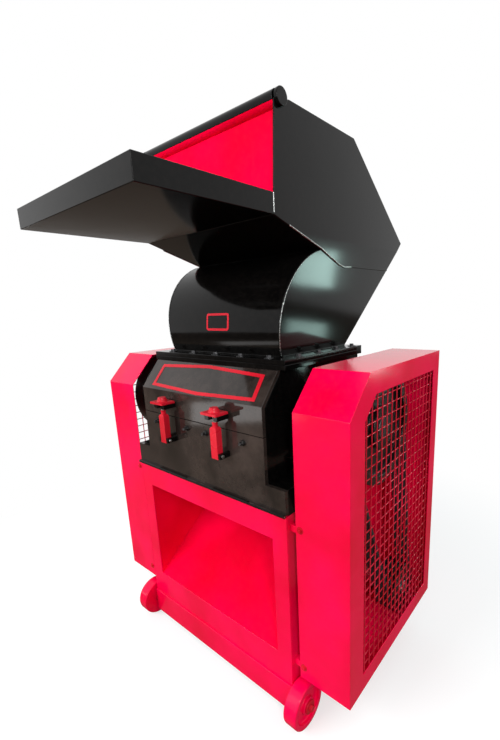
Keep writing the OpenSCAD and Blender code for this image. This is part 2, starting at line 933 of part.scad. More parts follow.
module screen_cradle() {
    r0 = screen_r + screen_t + seat;
    r1 = r0 + rib_h;
    a0 = on_circle([rotor_y, rotor_z], r0 + rib_h / 2, screen_front_a);
    a1 = on_circle([rotor_y, rotor_z], r0 + rib_h / 2, screen_back_a);
    color(dark_steel) {
        for (x = [-screen_half + rib_w / 2, 0, screen_half - rib_w / 2])
            slab_x(x - rib_w / 2, x + rib_w / 2, band(r0, r1, screen_front_a, screen_back_a));
        box(-inner_half, inner_half, a0[0] - cradle_bar, a0[0], a0[1] - cradle_bar, a0[1]);
        box(-inner_half, inner_half, a1[0], a1[0] + cradle_bar, a1[1] - cradle_bar, a1[1]);
    }
}

// outline of the door in X and Z
door_path = [
    [-cab_half_w, hinge_z], [cab_half_w, hinge_z], [cab_half_w, pedestal_z], [chamber_half_w, pedestal_z],
    [chamber_half_w, door_top_z], [-chamber_half_w, door_top_z], [-chamber_half_w, pedestal_z],
    [-cab_half_w, pedestal_z]
];

// spans of the door's knuckles and of the leaves' knuckles along X
door_spans = [
    [-cab_half_w, -leaf_end - knuckle_gap], [-knuckle_half, knuckle_half],
    [leaf_end + knuckle_gap, cab_half_w]
];
leaf_spans = [
    [-leaf_end, -knuckle_half - knuckle_gap], [knuckle_half + knuckle_gap, leaf_end]
];
stud_xs = [-stud_out_x, -stud_in_x, stud_in_x, stud_out_x];

cheek_in = block_half_x + block_gap;
cheek_out = cheek_in + cheek_t;

module cheek(x) {
    box(x, x + cheek_t, clamp_y - cheek_nose, front_y + past, clamp_pivot_z - cheek_half_h,
        clamp_pivot_z + cheek_half_h);
}

module access_door() {
    color(paint_black)
        difference() {
            union() {
                slab_y(front_y, door_back_y, door_path);
                for (s = door_spans) {
                    rod_x(s[0], s[1], hinge_y, hinge_z, hinge_r);
                    box(s[0], s[1], hinge_y, front_y + past, hinge_z, hinge_z + hinge_r);
                }
                for (s = [-1, 1]) {
                    cheek(s * clamp_x + cheek_in);
                    cheek(s * clamp_x - cheek_in - cheek_t);
                }
            }
            rod_x(-cab_half_w - past, cab_half_w + past, hinge_y, hinge_z, hinge_pin_r + run);
            for (s = [-1, 1])
                rod_x(s * clamp_x - cheek_out - past, s * clamp_x + cheek_out + past, clamp_y,
                    clamp_pivot_z, clamp_pin_r + run);
            for (x = stud_xs)
                rod_y(front_y - past, door_back_y + past, x, stud_z, stud_r + seat);
        }
}

module hinge_leaves() {
    color(paint_black)
        for (s = leaf_spans)
            difference() {
                union() {
                    rod_x(s[0], s[1], hinge_y, hinge_z, hinge_r);
                    box(s[0], s[1], hinge_y, hinge_y + leaf_l, cab_top_z, cab_top_z + leaf_t);
                }
                rod_x(s[0] - past, s[1] + past, hinge_y, hinge_z, hinge_pin_r + run);
            }
}

module hinge_pin() {
    color(steel)
        rod_x(-cab_half_w, cab_half_w, hinge_y, hinge_z, hinge_pin_r);
}

module door_screws() {
    color(steel)
        for (x = stud_xs) {
            rod_y(front_y - stud_out, door_back_y + stud_tip, x, stud_z, stud_r);
            translate([x, front_y - stud_nut_l, stud_z])
                rotate([-90, 0, 0])
                    cylinder(h = stud_nut_l, r = stud_nut_r, $fn = hex_sides);
        }
}

module clamp_pins() {
    half = cheek_out + pin_out;
    color(steel)
        for (s = [-1, 1])
            rod_x(s * clamp_x - half, s * clamp_x + half, clamp_y, clamp_pivot_z, clamp_pin_r);
}

// outline of the clamp's block with its tapered shoulders, about a middle line c
function block_path(c, half) = [
    [c - half, clamp_pivot_z - block_below], [c + half, clamp_pivot_z - block_below],
    [c + half, shoulder_z], [c + neck_r, shoulder_z + taper_h], [c - neck_r, shoulder_z + taper_h],
    [c - half, shoulder_z]
];

module clamp_block(x) {
    color(paint_red)
        difference() {
            union() {
                intersection() {
                    slab_y(clamp_y - block_half_y, clamp_y + block_half_y, block_path(x, block_half_x));
                    slab_x(x - block_half_x, x + block_half_x, block_path(clamp_y, block_half_y));
                }
                rod_z(shoulder_z, neck_top_z, x, clamp_y, neck_r);
            }
            rod_x(x - cheek_in, x + cheek_in, clamp_y, clamp_pivot_z, clamp_pin_r + run);
            rod_z(shoulder_z - bolt_in, neck_top_z + past, x, clamp_y, bolt_r + seat);
        }
}

module clamp_block_left() {
    clamp_block(-clamp_x);
}

module clamp_block_right() {
    clamp_block(clamp_x);
}

module swing_bolt(x) {
    color(steel)
        rod_z(shoulder_z - bolt_in, lug_top_z + nut_gap + nut_plate_t + hump_h / 2, x, clamp_y, bolt_r);
}

module swing_bolt_left() {
    swing_bolt(-clamp_x);
}

module swing_bolt_right() {
    swing_bolt(clamp_x);
}

module clamp_nut(x) {
    z0 = lug_top_z + nut_gap;
    z1 = z0 + nut_plate_t;
    color(paint_red)
        difference() {
            union() {
                box(x - nut_half_x, x + nut_half_x, clamp_y - nut_half_y, clamp_y + nut_half_y, z0, z1);
                translate([x, clamp_y, z1])
                    cylinder(h = hump_h, r1 = hump_r, r2 = hump_top_r);
            }
            rod_z(z0 - past, z1 + hump_h / 2 + seat, x, clamp_y, bolt_r + seat);
        }
}

module clamp_nut_left() {
    clamp_nut(-clamp_x);
}

module clamp_nut_right() {
    clamp_nut(clamp_x);
}

module clamp_lugs() {
    gap = bolt_r + slot_gap;
    color(paint_black)
        for (s = [-1, 1])
            difference() {
                box(s * clamp_x - lug_half_w, s * clamp_x + lug_half_w, clamp_y - lug_nose, front_y,
                    lug_low_z, lug_top_z);
                rod_z(lug_low_z - past, lug_top_z + past, s * clamp_x, clamp_y, gap);
                box(s * clamp_x - gap, s * clamp_x + gap, clamp_y - lug_nose - past, clamp_y,
                    lug_low_z - past, lug_top_z + past);
            }
}

module rotor_shaft() {
    color(steel)
        rod_x(-shaft_half_l, shaft_half_l, rotor_y, rotor_z, shaft_r);
}

module rotor_body() {
    color(dark_steel)
        difference() {
            union() {
                rod_x(-rotor_half_l, rotor_half_l, rotor_y, rotor_z, core_r);
                for (k = [0 : knives - 1])
                    about_rotor(k * full_turn / knives)
                        slab_x(-rotor_half_l, rotor_half_l, [
                            [rotor_y, rotor_z + shaft_r + knife_t], [rotor_y, rotor_z + arm_r],
                            [rotor_y + arm_tip_t, rotor_z + arm_r],
                            [rotor_y + arm_root_t, rotor_z + shaft_r + knife_t]
                        ]);
            }
            rod_x(-rotor_half_l - past, rotor_half_l + past, rotor_y, rotor_z, shaft_r + seat);
        }
}

module rotor_knives() {
    reach = sqrt(pow(cut_r, 2) - pow(knife_t, 2));
    color(steel)
        for (k = [0 : knives - 1])
            about_rotor(k * full_turn / knives)
                slab_x(-rotor_half_l, rotor_half_l, [
                    [rotor_y, rotor_z + knife_in_r], [rotor_y - knife_t, rotor_z + knife_in_r],
                    [rotor_y - knife_t, rotor_z + reach], [rotor_y, rotor_z + reach - knife_relief]
                ]);
}

module bearing() {
    x0 = chamber_half_w + bearing_off;
    x1 = x0 + bearing_w;
    foot = pedestal_z + bearing_foot_h;
    color(paint_black)
        difference() {
            union() {
                box(x0, x1, rotor_y - bearing_foot_y, rotor_y + bearing_foot_y, pedestal_z, foot);
                slab_x(x0, x1, [
                    [rotor_y - bearing_foot_y + bearing_foot_h, foot - past],
                    [rotor_y + bearing_foot_y - bearing_foot_h, foot - past],
                    [rotor_y + bearing_r - past, rotor_z], [rotor_y - bearing_r + past, rotor_z]
                ]);
                rod_x(x0, x1, rotor_y, rotor_z, bearing_r);
            }
            rod_x(x0 - past, x1 + past, rotor_y, rotor_z, shaft_r + run);
        }
}

module bearing_right() {
    bearing();
}

module bearing_left() {
    mirrored()
        bearing();
}

// outline of a guard's side, set in from the outside by t
function guard_path(t) =
    let (
        p = [guard_front_y, guard_top_z - guard_cham_z],
        q = [guard_front_y + guard_cham_y, guard_top_z],
        n = -left(unit(p, q))
    )
    [
        [guard_front_y + t, guard_low_z + t], [guard_back_y - t, guard_low_z + t],
        [guard_back_y - t, guard_top_z - t], corner(q, n, [0, -1], t), corner(p, [1, 0], n, t)
    ];

module guard_shell() {
    color(paint_red)
        difference() {
            union() {
                slab_x(guard_x0, guard_x1, guard_path(0));
                box(cab_half_w + guard_play, guard_x1, guard_back_y - guard_t, guard_back_y, guard_low_z,
                    cab_top_z);
            }
            slab_x(guard_x0 - past, guard_x1 - guard_t, guard_path(guard_t));
            slab_x(guard_x0 - past, guard_x1 + past, [
                [win_front_y, win_low_z], [win_back_y, win_low_z], [win_back_y, win_top_z],
                [win_front_y + win_cham, win_top_z], [win_front_y, win_top_z - win_cham]
            ]);
        }
}

module guard_shell_right() {
    guard_shell();
}

module guard_shell_left() {
    mirrored()
        guard_shell();
}

module guard_mesh() {
    step_y = (win_back_y - win_front_y) / wires_y;
    step_z = (win_top_z - win_low_z) / wires_z;
    x_up = guard_x1 - guard_t - wire_gap - wire_r;
    x_level = x_up - 2 * wire_r - wire_gap;
    color(paint_red) {
        for (i = [0 : wires_y - 1]) {
            y = win_front_y + (i + 1 / 2) * step_y;
            cut = max(0, win_front_y + win_cham - y);
            translate([x_up, y, win_low_z - wire_over])
                cylinder(h = win_top_z - cut - win_low_z + 2 * wire_over, r = wire_r);
        }
        for (i = [0 : wires_z - 1]) {
            z = win_low_z + (i + 1 / 2) * step_z;
            cut = max(0, z - win_top_z + win_cham);
            translate([x_level, win_front_y + cut - wire_over, z])
                rotate([-90, 0, 0])
                    cylinder(h = win_back_y - win_front_y - cut + 2 * wire_over, r = wire_r);
        }
    }
}

module guard_mesh_right() {
    guard_mesh();
}

module guard_mesh_left() {
    mirrored()
        guard_mesh();
}

module guard_brackets() {
    color(paint_red)
        both_sides()
            for (z = [guard_low_z + bracket_up, cab_top_z - bracket_down]) {
                box(cab_half_w, cab_half_w + bracket_l, guard_front_y + guard_t,
                    guard_front_y + guard_t + bracket_d, z - bracket_d / 2, z + bracket_d / 2);
                box(cab_half_w, cab_half_w + bracket_l, cab_back_y - bracket_d, guard_back_y - guard_t,
                    z - bracket_d / 2, z + bracket_d / 2);
            }
}

roll_c = [roll_y, roll_z];
mouth_low = [mouth_low_y, tray_low_z];
kink = on_circle(roll_c, roll_r, roll_start);
slope_n = left(unit(mouth_low, kink));
hop_b0 = [top_front_y, hop_top_z];
hop_b1 = [top_back_y, hop_top_z];
hop_b2 = [back_y, back_z];
hop_b3 = [foot_back_y, flange_top_z];
hop_n1 = [0, -1];
hop_n2 = -left(unit(hop_b1, hop_b2));
hop_n3 = -left(unit(hop_b2, hop_b3));

// outline of the hopper seen from the side, in Y and Z
hop_path = concat(
    [[mouth_top_y, mouth_top_z], mouth_low],
    [for (i = [0 : roll_steps])
        on_circle(roll_c, roll_r, roll_start + i / roll_steps * (roll_end - roll_start))],
    [hop_b3, hop_b2, hop_b1, hop_b0]
);

// everything within the hopper's width, set in by t, as its sides taper to the throat
module hop_width(t) {
    w = hop_half_w - t;
    v = throat_half_w - t;
    slab_y(-2 * back_y, 2 * back_y, [
        [-v, flange_top_z], [v, flange_top_z], [w, bend_z], [w, 2 * bend_z], [-w, 2 * bend_z], [-w, bend_z]
    ]);
}

module hopper_side_right() {
    color(paint_black)
        difference() {
            intersection() {
                slab_x(0, hop_half_w, hop_path);
                hop_width(0);
            }
            hop_width(hop_t);
            rod_x(0, hop_half_w + past, flap_y, flap_z, rod_r + seat);
        }
}

module hopper_side_left() {
    mirrored()
        hopper_side_right();
}

module throat_sheet() {
    color(paint_black)
        intersection() {
            slab_x(-hop_half_w, hop_half_w, concat(
                [mouth_low],
                [for (i = [0 : roll_steps])
                    on_circle(roll_c, roll_r, roll_start + i / roll_steps * (roll_end - roll_start))],
                [for (i = [0 : roll_steps])
                    on_circle(roll_c, roll_r - hop_t,
                        roll_end_in + i / roll_steps * (roll_start - roll_end_in))],
                [kink + [hop_t, 0], kink + hop_t * slope_n, mouth_low + hop_t * slope_n]
            ));
            hop_width(hop_t);
        }
}

module hopper_back_sheet() {
    color(paint_black)
        intersection() {
            slab_x(-hop_half_w, hop_half_w, [
                hop_b0, hop_b1, hop_b2, hop_b3, [foot_back_y + hop_t / hop_n3[0], flange_top_z],
                corner(hop_b2, hop_n2, hop_n3, hop_t), corner(hop_b1, hop_n1, hop_n2, hop_t),
                hop_b0 + hop_t * hop_n1
            ]);
            hop_width(hop_t);
        }
}

// front edge of the hopper's sides at a given height
function mouth_y(z) =
    mouth_low_y + (z - tray_low_z) / (mouth_top_z - tray_low_z) * (mouth_top_y - mouth_low_y);

module feed_tray() {
    z1 = tray_low_z + lip_h;
    side = [
        [tray_front_y, tray_low_z], [mouth_y(tray_low_z), tray_low_z], [mouth_y(z1), z1], [tray_front_y, z1]
    ];
    color(paint_black)
        difference() {
            slab_x(-hop_half_w, hop_half_w, side);
            box(-(hop_half_w - tray_t), hop_half_w - tray_t, tray_front_y + tray_t, 0, tray_low_z + tray_t,
                z1 + past);
        }
}

module flap() {
    half = hop_half_w - hop_t - flap_gap;
    color(paint_red)
        difference() {
            union() {
                rod_x(-half, half, flap_y, flap_z, tube_r);
                box(-half, half, flap_y - flap_t / 2, flap_y + flap_t / 2, flap_low_z, flap_z);
            }
            rod_x(-half - past, half + past, flap_y, flap_z, rod_r + run);
        }
}

module flap_rod() {
    color(paint_black) {
        rod_x(-hop_half_w - collar_l, hop_half_w + collar_l, flap_y, flap_z, rod_r);
        both_sides()
            rod_x(hop_half_w, hop_half_w + collar_l, flap_y, flap_z, tube_r);
    }
}

base_front();
base_side_left();
base_side_right();
base_back();
base_top_frame();
base_bottom_frame();
discharge_chute();
wheel_axles();
wheel_front_left();
wheel_front_right();
wheel_rear_left();
wheel_rear_right();
motor_body();
motor_shaft();
motor_pulley();
drive_belts();
pedestal_left();
pedestal_right();
chamber_side_left();
chamber_side_right();
chamber_back();
chamber_front();
chamber_flange();
knife_beams();
bed_knives();
screen();
screen_cradle();
access_door();
hinge_leaves();
hinge_pin();
door_screws();
clamp_pins();
swing_bolt_left();
swing_bolt_right();
clamp_block_left();
clamp_block_right();
clamp_nut_left();
clamp_nut_right();
clamp_lugs();
rotor_shaft();
rotor_body();
rotor_knives();
bearing_left();
bearing_right();
driven_pulley();
flywheel();
guard_shell_left();
guard_shell_right();
guard_mesh_left();
guard_mesh_right();
guard_brackets();
hopper_flange();
hopper_side_left();
hopper_side_right();
throat_sheet();
hopper_back_sheet();
feed_tray();
flap();
flap_rod();
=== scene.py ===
import json
import math

import bmesh
import bpy
import numpy as np
from mathutils import Matrix, Vector


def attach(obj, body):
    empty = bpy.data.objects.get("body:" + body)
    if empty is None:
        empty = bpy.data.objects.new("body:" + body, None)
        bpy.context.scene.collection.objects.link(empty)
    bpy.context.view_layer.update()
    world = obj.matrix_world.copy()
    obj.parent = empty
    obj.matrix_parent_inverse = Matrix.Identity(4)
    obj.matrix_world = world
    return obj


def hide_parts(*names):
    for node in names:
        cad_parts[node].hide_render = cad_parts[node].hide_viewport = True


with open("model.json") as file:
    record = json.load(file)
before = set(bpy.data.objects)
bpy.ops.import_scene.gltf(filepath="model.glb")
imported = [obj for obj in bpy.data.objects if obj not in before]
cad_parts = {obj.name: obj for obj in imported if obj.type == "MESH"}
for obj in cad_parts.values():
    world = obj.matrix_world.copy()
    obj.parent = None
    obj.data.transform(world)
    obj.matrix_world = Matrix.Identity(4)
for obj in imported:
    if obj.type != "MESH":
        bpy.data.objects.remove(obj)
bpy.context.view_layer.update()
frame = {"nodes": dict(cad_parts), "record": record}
NODES = frame["nodes"]
MM = 0.001
TURN = 2 * math.pi


# Camera, matched to the photograph

EYE = (0.9557, -1.0070, 1.2144)
AZIMUTH = math.radians(39.94)
DOWN = math.radians(12.56)
ROLL = math.radians(-2.24)
FOCAL_PX = 392.48
CENTRE_PX = (280.72, 394.10)
PICTURE = (500, 740)
SENSOR_MM = 36.0
CLIP_NEAR, CLIP_FAR = 0.05, 60


def set_camera():
    """The camera looks along d, with r to its right and u up, both rolled about d."""
    d = np.array([-math.sin(AZIMUTH) * math.cos(DOWN),
                  math.cos(AZIMUTH) * math.cos(DOWN),
                  -math.sin(DOWN)])
    r = np.array([math.cos(AZIMUTH), math.sin(AZIMUTH), 0.0])
    u = np.cross(r, d)
    right = math.cos(ROLL) * r + math.sin(ROLL) * u
    up = -math.sin(ROLL) * r + math.cos(ROLL) * u
    data = bpy.data.cameras.new("camera")
    data.sensor_width = SENSOR_MM
    data.lens = FOCAL_PX / PICTURE[1] * SENSOR_MM
    data.shift_x = (PICTURE[0] / 2 - CENTRE_PX[0]) / PICTURE[1]
    data.shift_y = (CENTRE_PX[1] - PICTURE[1] / 2) / PICTURE[1]
    data.clip_start = CLIP_NEAR
    data.clip_end = CLIP_FAR
    camera = bpy.data.objects.new("camera", data)
    camera.matrix_world = Matrix((
        (right[0], up[0], -d[0], EYE[0]),
        (right[1], up[1], -d[1], EYE[1]),
        (right[2], up[2], -d[2], EYE[2]),
        (0, 0, 0, 1),
    ))
    bpy.context.scene.collection.objects.link(camera)
    bpy.context.scene.camera = camera


# Finishes

# places of the colour sockets on a Mix node: first and second colour in, colour out
COLOUR_A, COLOUR_B, COLOUR_OUT = 6, 7, 2
WHITE = (1, 1, 1, 1)


def tint(code):
    """sRGB hex to linear RGBA: below 0.04045 divide by 12.92, above it ((c + 0.055) / 1.055) ** 2.4."""
    c = np.array([int(code[i:i + 2], 16) for i in (1, 3, 5)]) / 255
    c = np.where(c <= 0.04045, c / 12.92, ((c + 0.055) / 1.055) ** 2.4)
    return (*c.tolist(), 1.0)


def add(tree, kind, links=None, **settings):
    """Adds a node, sets its properties or input values by name, and links its inputs to the sockets."""
    node = tree.nodes.new(kind)
    for key, value in settings.items():
        if hasattr(node, key):
            setattr(node, key, value)
        else:
            node.inputs[key.replace("_", " ")].default_value = value
    for key, socket in (links or {}).items():
        tree.links.new(socket, node.inputs[key])
    return node


def blank(name):
    """A material with only its output and a Principled shader."""
    paint = bpy.data.materials.new(name)
    paint.use_nodes = True
    tree = paint.node_tree
    tree.nodes.clear()
    shader = add(tree, "ShaderNodeBsdfPrincipled")
    add(tree, "ShaderNodeOutputMaterial", {"Surface": shader.outputs[0]})
    return paint, tree, shader


def gloss_enamel(name, deep, bright, rough, ior=1.5, ripple_mm=9, ripple=0.05,
                 dust_and_reflection="#8A7F78", dust_and_reflection_share=0.02, speck_mm=14):
    """Sprayed gloss enamel on sheet steel: a deep even colour under a wet-looking skin, with the faint
    orange-peel ripple of the spray, slow drift in shade where the coat is thinner, and a mottle of a second
    colour that is a trace of dust, and on the black front also a painted reflection."""
    paint, tree, shader = blank(name)
    where = add(tree, "ShaderNodeTexCoord").outputs["Object"]
    drift = add(tree, "ShaderNodeTexNoise", {"Vector": where}, Scale=1 / (260 * MM), Detail=3.0)
    coat = add(tree, "ShaderNodeValToRGB", {"Fac": drift.outputs[0]})
    coat.color_ramp.elements[0].position = 0.35
    coat.color_ramp.elements[0].color = tint(deep)
    coat.color_ramp.elements[1].position = 0.65
    coat.color_ramp.elements[1].color = tint(bright)
    specks = add(tree, "ShaderNodeTexNoise", {"Vector": where}, Scale=1 / (speck_mm * MM), Detail=6.0,
                 Roughness=0.7)
    dust_and_reflection_mask = add(tree, "ShaderNodeMapRange", {"Value": specks.outputs[0]})
    dust_and_reflection_mask.inputs["From Min"].default_value = 0.45
    dust_and_reflection_mask.inputs["From Max"].default_value = 0.8
    dust_and_reflection_mask.inputs["To Max"].default_value = dust_and_reflection_share
    mix = add(tree, "ShaderNodeMix", {"Factor": dust_and_reflection_mask.outputs[0]}, data_type="RGBA")
    tree.links.new(coat.outputs[0], mix.inputs[COLOUR_A])
    mix.inputs[COLOUR_B].default_value = tint(dust_and_reflection)
    tree.links.new(mix.outputs[COLOUR_OUT], shader.inputs["Base Color"])
    haze = add(tree, "ShaderNodeMapRange", {"Value": drift.outputs[0]})
    haze.inputs["To Min"].default_value = rough * 0.7
    haze.inputs["To Max"].default_value = rough * 1.3
    tree.links.new(haze.outputs[0], shader.inputs["Roughness"])
    peel = add(tree, "ShaderNodeTexNoise", {"Vector": where}, Scale=1 / (ripple_mm * MM), Detail=1.0)
    bump = add(tree, "ShaderNodeBump", {"Height": peel.outputs[0]}, Strength=ripple, Distance=0.4 * MM)
    tree.links.new(bump.outputs[0], shader.inputs["Normal"])
    shader.inputs["IOR"].default_value = ior
    return paint


def worked_steel(name, light, dark, rough, grain_mm, stretch):
    """Machined or rolled steel: bare metal whose fine tool lines run along one axis and blur its shine."""
    steel, tree, shader = blank(name)
    where = add(tree, "ShaderNodeTexCoord").outputs["Object"]
    laid = add(tree, "ShaderNodeMapping", {"Vector": where})
    laid.inputs["Scale"].default_value = stretch
    lines = add(tree, "ShaderNodeTexNoise", {"Vector": laid.outputs[0]}, Scale=1 / (grain_mm * MM),
                Detail=4.0)
    shade = add(tree, "ShaderNodeValToRGB", {"Fac": lines.outputs[0]})
    shade.color_ramp.elements[0].position = 0.3
    shade.color_ramp.elements[0].color = tint(dark)
    shade.color_ramp.elements[1].position = 0.7
    shade.color_ramp.elements[1].color = tint(light)
    tree.links.new(shade.outputs[0], shader.inputs["Base Color"])
    blur = add(tree, "ShaderNodeMapRange", {"Value": lines.outputs[0]})
    blur.inputs["To Min"].default_value = rough * 0.75
    blur.inputs["To Max"].default_value = rough * 1.35
    tree.links.new(blur.outputs[0], shader.inputs["Roughness"])
    bump = add(tree, "ShaderNodeBump", {"Height": lines.outputs[0]}, Strength=0.15, Distance=0.1 * MM)
    tree.links.new(bump.outputs[0], shader.inputs["Normal"])
    shader.inputs["Metallic"].default_value = 1.0
    return steel


def moulded_rubber(name):
    """Wrapped belt rubber: dull and dark, with a cloth-like grain about 1 mm apart."""
    rubber, tree, shader = blank(name)
    where = add(tree, "ShaderNodeTexCoord").outputs["Object"]
    cloth = add(tree, "ShaderNodeTexVoronoi", {"Vector": where}, Scale=1 / (1.2 * MM))
    shade = add(tree, "ShaderNodeValToRGB", {"Fac": cloth.outputs[0]})
    shade.color_ramp.elements[0].color = tint("#0C0C0D")
    shade.color_ramp.elements[1].color = tint("#26262A")
    tree.links.new(shade.outputs[0], shader.inputs["Base Color"])
    bump = add(tree, "ShaderNodeBump", {"Height": cloth.outputs[0]}, Strength=0.4, Distance=0.2 * MM)
    tree.links.new(bump.outputs[0], shader.inputs["Normal"])
    shader.inputs["Roughness"].default_value = 0.75
    return rubber


RED = gloss_enamel("red_gloss_enamel", "#E60036", "#FF004E", 0.14, ior=1.3)
RED_INSIDE = gloss_enamel("red_enamel_inside", "#E6002A", "#FF003C", 0.4, ior=1.06)
# a darker copy of the guards' red enamel on the mesh wires: the darkness is painted shade, matching the shaded
# inside of the guards
RED_WIRE = gloss_enamel("red_wire_enamel_darkened_as_painted_shade", "#B80C20", "#DC2444", 0.15, ior=1.3, ripple_mm=4,
                        dust_and_reflection_share=0.1)
# a darker copy of the body's red enamel for the clamps, screws, axle ends and raised frames: the darkness is
# painted shade
RED_LINE = gloss_enamel("red_enamel_darkened_as_painted_shade", "#B80C20", "#D41C30", 0.25, ior=1.3, ripple_mm=3)
BLACK = gloss_enamel("black_gloss_enamel", "#040404", "#0A0909", 0.11, ior=1.27)
# a lighter, brownish black with a mottle 160 mm across: partly a real dust film, partly a painted reflection
# of a brown room on the door and the chamber's front
BLACK_FRONT = gloss_enamel("black_enamel_with_dust_and_painted_reflection", "#171311", "#2C2523", 0.08, ior=1.46,
                           dust_and_reflection="#6E5F58", dust_and_reflection_share=0.3, speck_mm=160)
BLACK_CAST = gloss_enamel("black_enamel_on_castings", "#070707", "#131313", 0.3, ripple_mm=5, ripple=0.3)
TURNED = worked_steel("turned_steel", "#D2D2D0", "#8E8E90", 0.28, 1.5, (8, 1, 1))
GROUND = worked_steel("ground_knife_steel", "#DADAD8", "#A2A3A6", 0.2, 1.0, (0.1, 4, 4))
ROLLED = worked_steel("rolled_dark_steel", "#6A6A6C", "#3A3A3C", 0.45, 6.0, (0.4, 1, 1))
# bright bare steel for the welds that stand where highlights fall along the folds and edges: a painted
# highlight
WELD = worked_steel("bare_weld_steel_as_painted_highlight", "#C6C8C6", "#6C6E6E", 0.25, 3.0, (1, 1, 1))
RUBBER = moulded_rubber("belt_rubber")


# Pieces that the solids give: a merged copy with softened edges takes each node's place

NODE_BODY = {n: b for b, names in frame["record"]["behaviour"]["bodies"].items() for n in names}
NODE_SLOT = {s["node"]: s["material_slot"] for s in frame["record"]["subparts"]}
# three steel nodes that are painted over or dark where they show
NODE_SLOT |= {"wheel_axles": "red_paint", "rotor_shaft": "dark_steel", "door_screws": "dark_steel"}

MERGE_MM, SLIVER_MM = 0.01, 0.005
FLAT_ENOUGH = math.radians(0.4)
FOLD = math.radians(32)
EDGE_STEPS = 2
FLAT_FACE_WEIGHT = 80


def soften(node, material, edge_mm):
    """A copy of the node's mesh, its loose triangles merged, with its sharp edges rounded by a bevel."""
    mesh = NODES[node].data.copy()
    mesh.name = node + "_finish"
    work = bmesh.new()
    work.from_mesh(mesh)
    bmesh.ops.remove_doubles(work, verts=work.verts, dist=MERGE_MM * MM)
    bmesh.ops.dissolve_degenerate(work, edges=work.edges, dist=SLIVER_MM * MM)
    bmesh.ops.dissolve_limit(work, angle_limit=FLAT_ENOUGH, verts=work.verts, edges=work.edges)
    if "custom_normal" in mesh.attributes:
        mesh.attributes.remove(mesh.attributes["custom_normal"])
    work.to_mesh(mesh)
    work.free()
    mesh.shade_smooth()
    mesh.set_sharp_from_angle(angle=FOLD)
    mesh.materials.clear()
    mesh.materials.append(material)
    piece = bpy.data.objects.new(node + "_finish", mesh)
    bpy.context.scene.collection.objects.link(piece)
    if edge_mm:
        bevel = piece.modifiers.new("rounded_edges", "BEVEL")
        bevel.width = edge_mm * MM
        bevel.segments = EDGE_STEPS
        bevel.limit_method = "ANGLE"
        bevel.angle_limit = FOLD
        bevel.use_clamp_overlap = True
        even = piece.modifiers.new("flat_faces_stay_flat", "WEIGHTED_NORMAL")
        even.keep_sharp = True
        even.weight = FLAT_FACE_WEIGHT
    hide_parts(node)
    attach(piece, NODE_BODY[node])


# each node's finish, and the width in mm of its rounded edges
FINISHES = {
    "base_front": (RED, 1.5), "base_side_left": (RED, 0.8), "base_side_right": (RED, 0.8),
    "base_back": (RED, 0.8), "base_top_frame": (RED, 1.5), "base_bottom_frame": (RED, 2.0),
    "discharge_chute": (RED_INSIDE, 0.6), "wheel_axles": (RED_LINE, 0.8),
    "motor_body": (RED_INSIDE, 2.0), "motor_shaft": (TURNED, 0.8),
    "motor_pulley": (BLACK_CAST, 0.8), "drive_belts": (RUBBER, 0.8),
    "pedestal_left": (BLACK, 1.5), "pedestal_right": (BLACK, 1.5),
    "chamber_side_left": (BLACK, 1.2), "chamber_side_right": (BLACK, 1.2),
    "chamber_back": (BLACK, 1.2), "chamber_front": (BLACK_FRONT, 1.0),
    "chamber_flange": (BLACK, 1.2), "hopper_flange": (BLACK, 1.2), "knife_beams": (ROLLED, 1.0),
    "bed_knives": (GROUND, 0.3), "screen": (TURNED, 0.2), "screen_cradle": (ROLLED, 0.8),
    "access_door": (BLACK_FRONT, 1.2), "hinge_leaves": (BLACK, 0.6), "hinge_pin": (TURNED, 0.5),
    "door_screws": (ROLLED, 0.8), "clamp_pins": (TURNED, 1.0),
    "swing_bolt_left": (TURNED, 0.8), "swing_bolt_right": (TURNED, 0.8),
    "clamp_block_left": (RED_LINE, 1.2), "clamp_block_right": (RED_LINE, 1.2),
    "clamp_nut_left": (RED_LINE, 1.2), "clamp_nut_right": (RED_LINE, 1.2),
    "clamp_lugs": (BLACK, 1.5), "rotor_shaft": (ROLLED, 1.5), "rotor_body": (ROLLED, 1.5),
    "rotor_knives": (GROUND, 0.3), "bearing_left": (BLACK_CAST, 3.0),
    "bearing_right": (BLACK_CAST, 3.0), "driven_pulley": (BLACK_CAST, 1.0),
    "flywheel": (BLACK_CAST, 1.5), "guard_shell_left": (RED, 1.3), "guard_shell_right": (RED, 1.3),
    "guard_mesh_left": (RED_WIRE, 0), "guard_mesh_right": (RED_WIRE, 0),
    "guard_brackets": (RED, 1.0), "hopper_side_left": (BLACK, 2.0),
    "hopper_side_right": (BLACK, 2.0), "throat_sheet": (BLACK, 0.8),
    "hopper_back_sheet": (BLACK, 1.0), "feed_tray": (BLACK, 2.0), "flap": (RED_INSIDE, 1.0),
    "flap_rod": (BLACK, 1.5), "wheel_front_left": (RED, 2.0), "wheel_front_right": (RED, 2.0),
    "wheel_rear_left": (RED, 2.0), "wheel_rear_right": (RED, 2.0),
}
for node_name, (finish, edge) in FINISHES.items():
    soften(node_name, finish, edge)


def paint_faces(node, material, inside):
    """Gives the faces whose middle lies inside the stated region their own paint."""
    mesh = bpy.data.objects[node + "_finish"].data
    mesh.materials.append(material)
    for face in mesh.polygons:
        if inside(face.center):
            face.material_index = 1


# The flap is black from 9 mm under its axis upwards. A plane 9 mm in front of the door's plate parts two
# more paints: the door screws are cast black behind it, and the cheeks that the door carries in front of it
# are gloss black.
FLAP_AXIS_Z = 1.708
BLACK_BELOW_AXIS = 0.009
PROUD_OF_DOOR_Y = -0.289
paint_faces("flap", BLACK, lambda c: c.z > FLAP_AXIS_Z - BLACK_BELOW_AXIS)
paint_faces("door_screws", BLACK_CAST, lambda c: c.y > PROUD_OF_DOOR_Y)
paint_faces("access_door", BLACK, lambda c: c.y < PROUD_OF_DOOR_Y)


# Shapes made from formulas, all in millimetres

